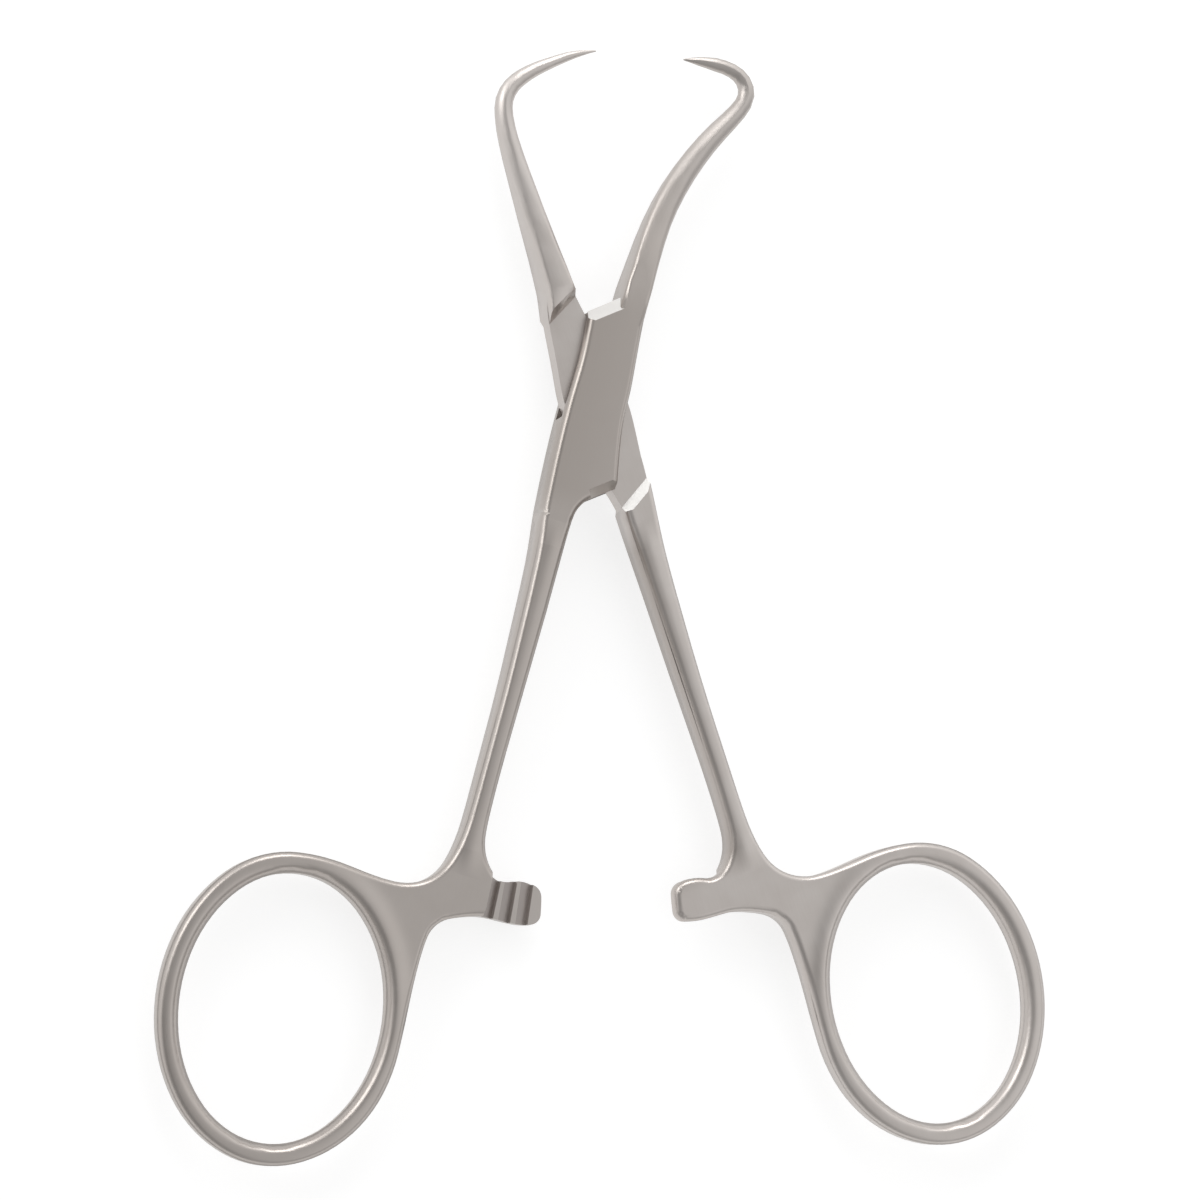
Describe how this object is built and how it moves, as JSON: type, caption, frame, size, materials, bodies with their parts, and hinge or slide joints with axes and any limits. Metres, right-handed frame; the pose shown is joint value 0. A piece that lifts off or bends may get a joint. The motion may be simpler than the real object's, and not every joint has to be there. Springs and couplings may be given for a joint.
{
  "type": "towel clamp",
  "caption": "Box-lock towel clamp with finger rings, ratchet bars and curved sharp jaws, lying open and flat.",
  "frame": {"origin": "on the pivot axis, at the back face of the lock that the clamp lies on", "axes": "+Z along the pivot axis out of the front face, +Y toward the jaws, +X to the right in the picture"},
  "size_m": [0.087, 0.1074, 0.0052],
  "materials": {
    "box_arm_steel": "satin",
    "tongue_arm_steel": "satin",
    "pin_steel": "satin"
  },
  "bodies": {
    "box_side": {"box_arm": "box_arm_steel", "pivot_pin": "pin_steel"},
    "tongue_side": {"tongue_arm": "tongue_arm_steel"}
  },
  "joints": [
    {"name": "lock_hinge", "type": "hinge", "parent": "box_side", "child": "tongue_side", "pos_m": [0, 0, 0.0026], "axis": [0, 0, 1], "range_deg": [-20, 20]}
  ]
}
